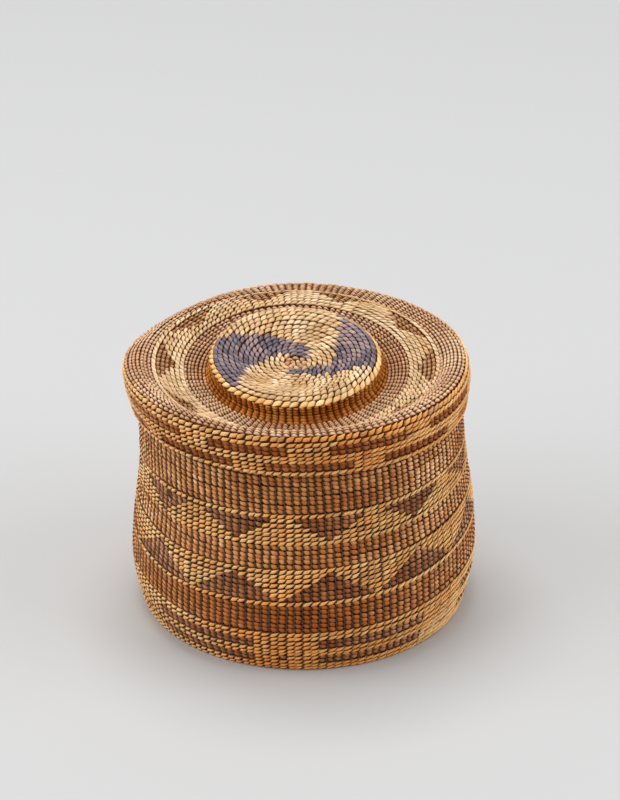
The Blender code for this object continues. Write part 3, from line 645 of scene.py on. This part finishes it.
def stitches(name, cells, form, colours, material, body, slot, nodes=(), inside=0.0, seed=5):
    """One piece made of all the stitches of a table, riding on a body."""
    source = np.random.default_rng(seed)
    count = len(cells.angle)
    size = source.normal(size=(count, 4)) * STITCH_SPREAD
    width = (cells.width * (1.0 + size[:, 0]))[:, None]
    height = (cells.height * (1.0 + size[:, 1]))[:, None]
    tilt = source.normal(size=count)[:, None] * TILT_SPREAD
    along = form.along.ravel()[None]
    up = form.up.ravel()[None]
    lift = form.off.ravel()[None] + size[:, 2][:, None]
    angle = cells.angle[:, None] + width * (along + size[:, 3][:, None])
    length = cells.length[:, None] + height * (up + tilt * along)
    if inside:
        lift = -inside - lift
    points = cells.fabric.place(angle, length, lift)
    quads = form.quads[:, ::-1] if inside else form.quads
    corner_uv = form.corner_uv[:, ::-1] if inside else form.corner_uv
    vertices = form.along.size
    offsets = np.arange(count)[:, None, None] * vertices
    piece = add_mesh(name, points, (quads[None] + offsets).reshape(-1, 4))
    mesh = piece.data
    colour = np.ones((count, vertices, 4))
    # Painted light: the stitch's tone lighter on its upper edge and darker on its lower edge
    colour[:, :, :3] = colours[:, None, :] * form.top_light[None, :, None]
    # Painted shade: fade to the dark gap colour where the stitch dives and along its edges
    shade = form.shade[None, :, None]
    colour[:, :, :3] = colour[:, :, :3] * (1.0 - shade) + gap_shade(body, slot) * shade
    layer = mesh.color_attributes.new("tone", "FLOAT_COLOR", "POINT")
    layer.data.foreach_set("color", colour.astype(np.float32).ravel())
    grain = np.empty((count, vertices, 3))
    grain[:] = form.local[None]
    grain += source.uniform(0.0, 90.0, size=(count, 1, 3))
    layer = mesh.attributes.new("grain", "FLOAT_VECTOR", "POINT")
    layer.data.foreach_set("vector", grain.astype(np.float32).ravel())
    bake_map(mesh, corner_uv, count)
    mesh.materials.append(material)
    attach(piece, body)
    if nodes:
        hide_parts(*nodes)


def revolved(name, fabric, low, high, lifts, material, body):
    """Closed core shell between the outer and the inner stitches."""
    lengths = np.linspace(low, high, max(3, int((high - low) / 1.6)))
    sides = WARPS
    angle = TURN * np.arange(sides) / sides
    loop = np.concatenate((lengths, lengths[::-1]))
    lift = np.repeat(lifts, len(lengths))
    points = fabric.place(*np.broadcast_arrays(angle[None, :], loop[:, None], lift[:, None]))
    rows = len(loop)
    row = np.arange(rows)[:, None] * sides
    after = ((np.arange(rows) + 1) % rows)[:, None] * sides
    side = np.arange(sides)[None, :]
    turned = (side + 1) % sides
    quads = np.stack((row + side, row + turned, after + turned, after + side), axis=-1).reshape(-1, 4)
    piece = add_mesh(name, points, quads)
    layer = piece.data.uv_layers.new(name="OFBake")
    low_corner = np.stack(np.broadcast_arrays(np.arange(rows)[:, None], side), axis=-1)[:, :, None, :]
    corners = (low_corner + np.array(((0, 0), (0, 1), (1, 1), (1, 0)))) / (rows, sides)
    layer.data.foreach_set("uv", corners.astype(np.float32).ravel())
    piece.data.materials.append(material)
    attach(piece, body)


def new_material(name, specular):
    """Plain material with its node tree, ready to be filled."""
    material = bpy.data.materials.new(name)
    material.use_nodes = True
    tree = material.node_tree
    shader = tree.nodes["Principled BSDF"]
    shader.inputs["Specular IOR Level"].default_value = specular
    return material, tree.nodes, tree.links, shader


def map_range(nodes, links, value, before, after):
    """Node that maps a value from one range to another."""
    node = nodes.new("ShaderNodeMapRange")
    for side, (low, high) in (("From", before), ("To", after)):
        node.inputs[side + " Min"].default_value = low
        node.inputs[side + " Max"].default_value = high
    links.new(value, node.inputs["Value"])
    return node


def fibre_material(name, roughness, streak, bump, specular):
    """Plant fibre: the stitch's tone with its painted light and shade, streaked along it, with a fine
    fibrous relief.
    """
    material, nodes, links, shader = new_material(name, specular)
    tone = nodes.new("ShaderNodeAttribute")
    tone.attribute_name = "tone"
    grain = nodes.new("ShaderNodeAttribute")
    grain.attribute_name = "grain"
    stretch = nodes.new("ShaderNodeVectorMath")
    stretch.operation = "MULTIPLY"
    stretch.inputs[1].default_value = (0.7, 3.2, 3.2)
    links.new(grain.outputs["Vector"], stretch.inputs[0])
    fibres = nodes.new("ShaderNodeTexNoise")
    fibres.inputs["Scale"].default_value = 1.6
    fibres.inputs["Detail"].default_value = 3.0
    fibres.inputs["Roughness"].default_value = 0.6
    links.new(stretch.outputs["Vector"], fibres.inputs["Vector"])
    levels = map_range(nodes, links, fibres.outputs["Fac"], (0.3, 0.7), (1.0 - streak, 1.0 + 0.5 * streak))
    place = nodes.new("ShaderNodeTexCoord")
    stains = nodes.new("ShaderNodeTexNoise")
    stains.inputs["Scale"].default_value = 95.0
    stains.inputs["Detail"].default_value = 4.0
    links.new(place.outputs["Object"], stains.inputs["Vector"])
    stain_levels = map_range(nodes, links, stains.outputs["Fac"], (0.35, 0.65), (0.86, 1.06))
    both = nodes.new("ShaderNodeMath")
    both.operation = "MULTIPLY"
    links.new(levels.outputs["Result"], both.inputs[0])
    links.new(stain_levels.outputs["Result"], both.inputs[1])
    paint = nodes.new("ShaderNodeVectorMath")
    paint.operation = "SCALE"
    links.new(tone.outputs["Color"], paint.inputs[0])
    links.new(both.outputs["Value"], paint.inputs["Scale"])
    links.new(paint.outputs["Vector"], shader.inputs["Base Color"])
    rough = map_range(nodes, links, fibres.outputs["Fac"], (0.0, 1.0), (roughness + 0.1, roughness - 0.1))
    links.new(rough.outputs["Result"], shader.inputs["Roughness"])
    relief = nodes.new("ShaderNodeBump")
    relief.inputs["Strength"].default_value = bump
    relief.inputs["Distance"].default_value = 0.08 * MM
    links.new(fibres.outputs["Fac"], relief.inputs["Height"])
    links.new(relief.outputs["Normal"], shader.inputs["Normal"])
    return material


def speckled_material(name, low, high, scale, detail, roughness, specular):
    """Material speckled between two colours."""
    material, nodes, links, shader = new_material(name, specular)
    shader.inputs["Roughness"].default_value = roughness
    place = nodes.new("ShaderNodeTexCoord")
    noise = nodes.new("ShaderNodeTexNoise")
    noise.inputs["Scale"].default_value = scale
    noise.inputs["Detail"].default_value = detail
    links.new(place.outputs["Object"], noise.inputs["Vector"])
    ramp = nodes.new("ShaderNodeValToRGB")
    ramp.color_ramp.elements[0].color = (*low, 1.0)
    ramp.color_ramp.elements[1].color = (*high, 1.0)
    links.new(noise.outputs["Fac"], ramp.inputs["Fac"])
    links.new(ramp.outputs["Color"], shader.inputs["Base Color"])
    return material


def shade_core_material(name, tone):
    """Inner fibres seen only through the gaps between the stitches, coloured dark as painted shade."""
    return speckled_material(name, 0.7 * tone, 1.7 * tone, 600.0, 2.0, 0.9, 0.0)


def stone_material():
    """Small water-worn pebbles, speckled grey-brown."""
    low = linear(92, 84, 76)
    high = linear(178, 168, 152)
    return speckled_material("pebble_stone", low, high, 1400.0, 5.0, 0.55, 0.5)


def in_opening(cells, first, repeat, warps):
    """Which stitches lie in the even openings of a band."""
    off = np.abs((cells.true_angle - first + 0.5 * repeat) % repeat - 0.5 * repeat)
    return off < 0.5 * warps * TURN / WARPS


def in_tooth(cells, repeat, row_from_root):
    """Which stitches lie in the stepped teeth, one repeat of warps wide at the root."""
    step = (cells.warp + repeat // 2) % repeat - repeat // 2
    return np.abs(step) <= (repeat - 1) / 2 - row_from_root


def in_swirl(cells, arm):
    """Which stitches of the knob's top lie in one arm of the swirl."""
    degrees, inner, outer = np.array(arm, float).T
    radius = cells.radius()
    angle = degrees[0] + (np.degrees(cells.true_angle - 0.5 * np.pi) - degrees[0]) % 360.0
    above = radius > np.interp(angle, degrees, inner)
    below = radius < np.interp(angle, degrees, outer)
    return (angle < degrees[-1]) & above & below


def front_share(cells, centre, spread):
    """How near each stitch is to a place round the basket, from 0 to 1."""
    off = wrap(cells.true_angle - math.radians(centre))
    return np.exp(-(off / math.radians(spread)) ** 2)


def wall_tones(cells, palette, seed, shift=0.0):
    """Colour of the wall's root stitches, redder and darker toward the front by painted shade."""
    front = front_share(cells, 0.0, FRONT_SPREAD)[:, None]
    return tones(cells, palette, shift, seed) * (1.0 - front * np.array(FRONT_SHADE))


def straw_colours(cells, palette, node, seed):
    """Colour of straw stitches, orange at the places of its node and dull where a few are worn."""
    source = np.random.default_rng(seed + 300)
    pale = tones(cells, palette, 0.0, seed)
    orange = tones(cells, ORANGE_TONES, 0.0, seed + 1)
    share = 0.22 * waves(cells.true_angle, cells.length, seed + 2, 26.0)
    for centre, spread, most in ORANGE_PLACES[node]:
        share = share + most * front_share(cells, centre, spread)
    share = np.clip(share + 0.15 * source.normal(size=len(share)), 0.0, 1.0)[:, None]
    colours = pale * (1.0 - share) + orange * share
    worn = source.random(len(colours)) < WORN_CHANCE
    colours[worn] = (1.0 - WORN_MIX) * colours[worn] + WORN_MIX * DYED_ROOT_TONES[1]
    return colours


def build_body(root, grass, core):
    """Stitches of the wall and bottom, outside and inside."""
    heights = ROW_PITCH * np.arange(WALL_ROWS + 1)
    edges = np.interp(np.maximum(heights, 0.25), WALL.path[:, 1], WALL.lengths)
    wall = Cells(WALL, edges, WARPS, CROWN_TURN, seed=21)
    row = wall.row
    foot = row < FOOT_ROWS
    opening = in_opening(wall, FOOT_TURN, FOOT_REPEAT, FOOT_OPENING_WARPS)
    tier = np.zeros(len(row), bool)
    for low, high in FOOT_TIERS:
        tier |= (row >= low) & (row < high)
    stray = (row == STRAY_ROW) & (np.abs(wrap(wall.true_angle - STRAY_TURN)) < 0.6 * TURN / WARPS)
    foot_ground = tier & (opening | stray)
    lower_rows = (row >= LOWER_CROWN_ROW - LOWER_TOOTH_ROWS) & (row < LOWER_CROWN_ROW)
    lower_tooth = lower_rows & in_tooth(wall, CROWN_WARPS, LOWER_CROWN_ROW - 1 - row)
    upper_rows = (row > UPPER_CROWN_ROW) & (row <= UPPER_CROWN_ROW + UPPER_TOOTH_ROWS)
    upper_tooth = upper_rows & in_tooth(wall, CROWN_WARPS, row - UPPER_CROWN_ROW - 1)
    grass_zones = {
        "foot_overlay": foot & ~foot_ground,
        "lower_course": row == LOWER_COURSE_ROW,
        "lower_crown": (row == LOWER_CROWN_ROW) | lower_tooth,
        "upper_crown": (row == UPPER_CROWN_ROW) | upper_tooth,
        "upper_course": row == UPPER_COURSE_ROW,
    }
    for number, (node, mask) in enumerate(grass_zones.items()):
        cells = wall.pick(mask)
        colours = straw_colours(cells, STRAW_TONES, node, 50 + 4 * number)
        stitches(node + "_grass", cells, GRASS, colours, grass, "basket", "straw", (node,), seed=60 + number)
    dyed = foot_ground | (lower_rows & ~lower_tooth) | (upper_rows & ~upper_tooth)
    hole = np.isin(row, HOLE_ROWS) & (np.abs(wrap(wall.true_angle - HOLE_TURN)) < 0.5 * TURN / WARPS)
    dyed &= ~hole
    plain = ~dyed & ~hole
    for mask in grass_zones.values():
        plain &= ~mask
    zones = {
        "foot_ground": (foot_ground, DYED_ROOT_TONES),
        "lower_ground": (dyed & lower_rows, DYED_ROOT_TONES),
        "upper_ground": (dyed & upper_rows, DYED_ROOT_TONES),
        "lower_field": (plain & (row < LOWER_COURSE_ROW), ROOT_TONES),
        "middle_field": (plain & (row > LOWER_CROWN_ROW) & (row < UPPER_CROWN_ROW), ROOT_TONES),
        "upper_field": (plain & (row > UPPER_COURSE_ROW) & (row < COVERED_ROW), ROOT_TONES),
    }
    for number, (name, (mask, palette)) in enumerate(zones.items()):
        cells = wall.pick(mask)
        colours = wall_tones(cells, palette, 70 + number, -0.40 if name == "lower_field" else 0.0)
        nodes = ("basket_body",) if name == "middle_field" else ()
        stitches(name + "_root", cells, ROOT, colours, root, "basket", "root", nodes, seed=80 + number)
    hidden = wall.pick(plain & (row >= COVERED_ROW))
    stitches("mouth_field_root", hidden, ROOT_PLAIN, tones(hidden, ROOT_TONES), root, "basket", "root")
    thirds = np.linspace(0, WALL_ROWS, 4).astype(int)
    for number, part in enumerate(("low", "middle", "high")):
        cells = wall.pick((row >= thirds[number]) & (row < thirds[number + 1]) & (row > 0))
        colours = tones(cells, ROOT_TOP_TONES, 0.0, seed=90 + number)
        name = f"inside_{part}_root"
        stitches(name, cells, ROOT_PLAIN, colours, root, "basket", "root", (), INSIDE_DEPTH, 95 + number)
    count = int((FOOT_RADIUS - 1.0) / ROW_PITCH)
    rings = np.linspace(0.6, FOOT_RADIUS - 1.2, count + 1)
    warps = [max(5, int(TURN * r / BOTTOM_STITCH)) for r in 0.5 * (rings[:-1] + rings[1:])]
    bottom = Cells(BOTTOM, rings, warps, sway=0.04, seed=31)
    colours = tones(bottom, ROOT_TONES, -0.1, seed=99)
    stitches("bottom_root", bottom, ROOT_UNDER, colours, root, "basket", "root")
    colours = tones(bottom, ROOT_TOP_TONES, 0.0, seed=98)
    stitches("inside_bottom_root", bottom, ROOT_PLAIN, colours, root, "basket", "root", (), INSIDE_DEPTH)
    revolved("wall_shade_core", BODY, 0.05, BODY.lengths[-1], WALL_CORE, core, "basket")
    build_rim(root)


def build_rim(root):
    """Thick finishing turn round the mouth."""
    turns = np.linspace(-0.35 * np.pi, 1.35 * np.pi, 40)
    centre = (float(wall_radius(MOUTH_HEIGHT)) - 0.5 * BODY_FABRIC, MOUTH_HEIGHT + RIM_LIFT)
    path = np.stack((centre[0] + RIM_ROLL * np.cos(turns), centre[1] + RIM_ROLL * np.sin(turns)), axis=1)
    rim = Fabric(path, settle_body)
    cells = Cells(rim, np.linspace(0.0, rim.lengths[-1], 3), WARPS, sway=0.04, seed=33)
    colours = tones(cells, ROOT_TONES, 0.1)
    stitches("rim_binding_root", cells, ROOT_RIM, colours, root, "basket", "root", ("rim_edging",))


def lid_rows(low, high, rows):
    """Even row edges between two lengths along the lid."""
    return np.linspace(low, high, rows + 1)


def build_flange(root, grass):
    """Stitches of the flange and of the corner course."""
    corner = LID_PLACES["corner"]
    edges = lid_rows(0.2, corner - CORNER_COURSE_ROWS * LID_ROW_PITCH, FLANGE_ROWS)
    edges = np.append(edges, corner + CORNER_REACH)
    flange = Cells(LID, edges, WARPS, CROWN_TURN, seed=41)
    row = flange.row
    ground = np.zeros(len(row), bool)
    for number, (low, high) in enumerate(FLANGE_TIERS):
        first = FLANGE_TURN + 0.5 * number * FLANGE_REPEAT
        opening = in_opening(flange, first, FLANGE_REPEAT, FLANGE_OPENING_WARPS)
        crowded = (number == CROWDED_TIER) & (np.abs(wrap(flange.true_angle - CROWDED_TURN)) < CROWDED_REACH)
        ground |= (row >= low) & (row < high) & opening & ~crowded
    zones = {
        "flange_edge_course": (row == 0, GRASS),
        "flange_overlay": ((row > 0) & (row < FLANGE_ROWS) & ~ground, GRASS),
        "shoulder_course": (row == FLANGE_ROWS, CORNER),
    }
    for number, (node, (mask, form)) in enumerate(zones.items()):
        cells = flange.pick(mask)
        colours = straw_colours(cells, STRAW_TONES, node, 110 + 4 * number)
        stitches(node + "_grass", cells, form, colours, grass, "lid", "straw", (node,), seed=120 + number)
    cells = flange.pick(ground)
    colours = wall_tones(cells, FLANGE_GROUND_TONES, 130)
    stitches("flange_ground_root", cells, ROOT_BAR, colours, root, "lid", "root_pale", seed=131)
    lining = flange.pick(row < FLANGE_ROWS)
    colours = tones(lining, ROOT_TOP_TONES, 0.0, seed=132)
    name = "flange_lining_root"
    stitches(name, lining, FLANGE_LINING, colours, root, "lid", "root_pale", (), LID_FABRIC, seed=133)


def build_top(root, grass):
    """Stitches of the lid's sunken top, from the corner in to the knob."""
    row_height = (LID_PLACES["crown"] - LID_PLACES["ring"]) / (LID_TOOTH_ROWS + 1)
    ring = LID_PLACES["ring"]
    crown = LID_PLACES["crown"]
    start = LID_PLACES["corner"] + CORNER_REACH
    edges = lid_rows(start - CORNER_OVERLAP, ring - 0.5 * row_height, SHOULDER_ROWS)
    shoulder = Cells(LID, edges, SHOULDER_WARPS, seed=42)
    colours = tones(shoulder, ROOT_TOP_TONES, 0.10, seed=140)
    node = "lid_shell"
    stitches("shoulder_field_root", shoulder, ROOT_TOP, colours, root, "lid", "root_pale", (node,), seed=141)
    edges = lid_rows(ring - 0.5 * row_height, crown + 0.5 * row_height, LID_TOOTH_ROWS + 2)
    band = Cells(LID, edges, LID_WARPS, LID_CROWN_TURN, seed=43)
    row = band.row
    tooth_rows = (row > 0) & (row <= LID_TOOTH_ROWS)
    tooth = tooth_rows & in_tooth(band, LID_CROWN_WARPS, LID_TOOTH_ROWS - row)
    zones = {"lid_ring_course": row == 0, "lid_crown": (row == LID_TOOTH_ROWS + 1) | tooth}
    for number, (node, mask) in enumerate(zones.items()):
        cells = band.pick(mask)
        colours = tones(cells, STRAW_TOP_TONES, 0.0, seed=150 + number)
        name = node + "_grass"
        stitches(name, cells, GRASS_TOP, colours, grass, "lid", "straw_pale", (node,), seed=160 + number)
    ground = band.pick(tooth_rows & ~tooth)
    colours = tones(ground, LID_GROUND_TONES, 0.0, seed=170)
    stitches("lid_ground_root", ground, ROOT_TOP, colours, root, "lid", "root_pale", seed=171)
    side_start = LID_PLACES["knob_foot"] - 0.6
    sunk = Cells(LID, lid_rows(crown + 0.5 * row_height, side_start, SUNK_ROWS), SUNK_WARPS, seed=44)
    # Painted shade: the sunken ring darker toward the knob and at its front
    shade = 1.0 - np.outer(sunk.row / SUNK_ROWS, SUNK_SHADE)
    shade -= SUNK_FRONT_SHADE * front_share(sunk, 0.0, SUNK_FRONT_SPREAD)[:, None]
    colours = tones(sunk, ROOT_TOP_TONES, 0.0, seed=172) * shade
    stitches("sunk_field_root", sunk, ROOT_TOP, colours, root, "lid", "root_pale", seed=173)
    side_end = LID_PLACES["knob_top"] - SEAT_GAP
    side = Cells(LID, lid_rows(side_start, side_end, KNOB_SIDE_ROWS), KNOB_SIDE_WARPS, seed=45)
    colours = tones(side, ROOT_RUST_TONES, 0.1, seed=174)
    stitches("knob_side_root", side, ROOT_BAR, colours, root, "lid", "root_pale", seed=175)
    lining = Cells(LID, lid_rows(start, LID_PLACES["knob_foot"] + 1.0, LINING_ROWS), LID_WARPS, seed=46)
    colours = tones(lining, ROOT_TOP_TONES, 0.0, seed=176)
    name = "lid_lining_root"
    stitches(name, lining, LID_LINING, colours, root, "lid", "root_pale", (), LID_FABRIC, seed=177)


def build_knob(root, grass, dyed):
    """Stitches of the knob's edge and of its dished top with the swirl."""
    edge_low = LID_PLACES["knob_top"] - SEAT_GAP
    edge_high = LID_PLACES["knob_edge"] + SEAT_GAP
    edge = Cells(LID, np.array((edge_low, edge_high)), KNOB_EDGE_WARPS, sway=0.05, seed=47)
    colours = tones(edge, STRAW_TONES, 0.2, seed=180)
    node = "knob_edge_course"
    stitches("knob_edge_grass", edge, GRAIN_EDGE, colours, grass, "lid", "straw_pale", (node,), seed=181)
    end = LID.lengths[-1] - 0.5
    rows = round((end - edge_high) / KNOB_ROW_PITCH)
    edges = lid_rows(edge_high, end, rows)
    middles = 0.5 * (edges[:-1] + edges[1:])
    warps = [max(4, round(TURN * float(LID.radius_at(s)) / KNOB_STITCH)) for s in middles]
    top = Cells(LID, edges, warps, sway=0.03, seed=48)
    top.true_angle = top.true_angle + KNOB_ROW_TWIST * top.row
    top.angle = top.angle + KNOB_ROW_TWIST * top.row
    eye = top.radius() < SWIRL_EYE_RADIUS
    left = in_swirl(top, SWIRL_LEFT_ARM) & ~eye
    right = in_swirl(top, SWIRL_RIGHT_ARM) & ~eye
    field = ~(left | right | eye)
    zones = {
        "knob_field": (field, STRAW_TOP_TONES, -0.12, grass, "straw_pale"),
        "knob_swirl_left": (left, SWIRL_TONES, -0.10, dyed, "dyed"),
        "knob_swirl_right": (right, SWIRL_TONES, 0.0, dyed, "dyed"),
    }
    for number, (node, (mask, palette, shift, material, slot)) in enumerate(zones.items()):
        cells = top.pick(mask)
        spread, patch = (0.20, 0.42) if slot == "dyed" else (0.16, 0.26)
        colours = tones(cells, palette, shift, 190 + number, spread, patch)
        stitches(node + "_grass", cells, GRAIN, colours, material, "lid", slot, (node,), seed=200 + number)
    cells = top.pick(eye)
    stitches("knob_eye_root", cells, ROOT, tones(cells, ROOT_TOP_TONES, -0.2), root, "lid", "root_pale")


def build_rattle(root, stone):
    """Woven disc that closes the knob from below, and the pebbles on it."""
    height = SUNK_HEIGHT - LID_FABRIC - 2.0 * SEAT_GAP - 1.2
    radius = KNOB_RADIUS + FLOOR_MARGIN
    disc = flat_fabric(((0.0, height), (radius, height)), settle_lid)
    edges = np.linspace(0.6, radius - 0.2, DISC_ROWS + 1)
    warps = [max(5, int(TURN * r / DISC_STITCH)) for r in 0.5 * (edges[:-1] + edges[1:])]
    cells = Cells(disc, edges, warps, sway=0.04, seed=49)
    colours = tones(cells, ROOT_TOP_TONES, 0.0, seed=210)
    stitches("rattle_floor_root", cells, DISC, colours, root, "lid", "root_pale", ("rattle_floor",))
    for number in range(1, 7):
        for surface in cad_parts[f"pebble_{number}"].material_slots:
            surface.material = stone


def build_lid(root, grass, dyed, core):
    """All the stitches of the lid over its core."""
    build_flange(root, grass)
    build_top(root, grass)
    build_knob(root, grass, dyed)
    revolved("lid_shade_core", LID, 0.3, LID.lengths[-1] - 0.3, LID_CORE, core, "lid")


def area_lamp(name, place, target, size, power):
    """Soft square lamp that looks at a target."""
    light = bpy.data.lights.new(name, "AREA")
    light.shape = "SQUARE"
    light.size = size
    light.energy = power
    lamp = bpy.data.objects.new(name, light)
    bpy.context.scene.collection.objects.link(lamp)
    lamp.location = place
    direction = Vector(target) - Vector(place)
    lamp.rotation_euler = direction.to_track_quat("-Z", "Y").to_euler()


def build_stage():
    """Pale floor, soft lamps and even surroundings."""
    floor_mesh = bpy.data.meshes.new("floor")
    reach = 4.0
    corners = [(-reach, -reach, 0.0), (reach, -reach, 0.0), (reach, reach, 0.0), (-reach, reach, 0.0)]
    floor_mesh.from_pydata(corners, [], [(0, 1, 2, 3)])
    floor = bpy.data.objects.new("floor", floor_mesh)
    bpy.context.scene.collection.objects.link(floor)
    material, nodes, links, shader = new_material("paper_floor", 0.1)
    shader.inputs["Roughness"].default_value = 0.9
    place = nodes.new("ShaderNodeTexCoord")
    axes = nodes.new("ShaderNodeSeparateXYZ")
    links.new(place.outputs["Object"], axes.inputs["Vector"])
    # Painted shade: the floor a little darker toward the back
    depth = map_range(nodes, links, axes.outputs["Y"], (-0.1, 0.9), (0.0, 1.0))
    ramp = nodes.new("ShaderNodeValToRGB")
    ramp.color_ramp.elements[0].color = (0.503, 0.504, 0.506, 1.0)
    ramp.color_ramp.elements[1].color = (0.495, 0.496, 0.498, 1.0)
    links.new(depth.outputs["Result"], ramp.inputs["Fac"])
    links.new(ramp.outputs["Color"], shader.inputs["Base Color"])
    floor_mesh.materials.append(material)
    world = bpy.data.worlds.new("studio")
    world.use_nodes = True
    world.node_tree.nodes["Background"].inputs["Color"].default_value = (0.72, 0.72, 0.72, 1.0)
    world.node_tree.nodes["Background"].inputs["Strength"].default_value = 0.80
    bpy.context.scene.world = world
    middle = (0.0, 0.0, 0.07)
    area_lamp("left_softbox", (-1.60, -0.40, 0.85), middle, 1.7, 22.5)
    area_lamp("right_softbox", (1.60, -0.30, 0.80), middle, 1.5, 17.0)
    area_lamp("top_softbox", (-0.15, 0.42, 1.90), middle, 1.0, 21.0)


def build_camera():
    """Camera at the photograph's place and angle."""
    tilt = math.radians(CAMERA_TILT_DEGREES)
    target = Vector(CAMERA_TARGET) * MM
    away = Vector((0.0, -math.cos(tilt), math.sin(tilt))) * CAMERA_DISTANCE * MM
    data = bpy.data.cameras.new("photo_camera")
    data.sensor_fit = "VERTICAL"
    data.sensor_height = SENSOR_HEIGHT
    data.lens = SENSOR_HEIGHT * FOCAL_PIXELS / PHOTO_HEIGHT_PIXELS
    data.clip_end = 50.0
    camera = bpy.data.objects.new("photo_camera", data)
    camera.matrix_world = Matrix.Translation(target + away) @ Matrix.Rotation(0.5 * math.pi - tilt, 4, "X")
    bpy.context.scene.collection.objects.link(camera)
    bpy.context.scene.camera = camera


def main():
    """Build the camera, the stage and every piece of the basket."""
    build_camera()
    build_stage()
    root = fibre_material("root_fibre", 0.50, 0.26, 0.6, 0.06)
    grass = fibre_material("grass_fibre", 0.42, 0.16, 0.35, 0.28)
    dyed = fibre_material("dyed_grass_fibre", 0.42, 0.26, 0.35, 0.36)
    build_body(root, grass, shade_core_material("wall_shade_core", CREVICE_SHADE))
    build_lid(root, grass, dyed, shade_core_material("lid_shade_core", LID_CREVICE_SHADE))
    build_rattle(root, stone_material())
    bpy.context.scene.view_settings.view_transform = "Standard"


main()
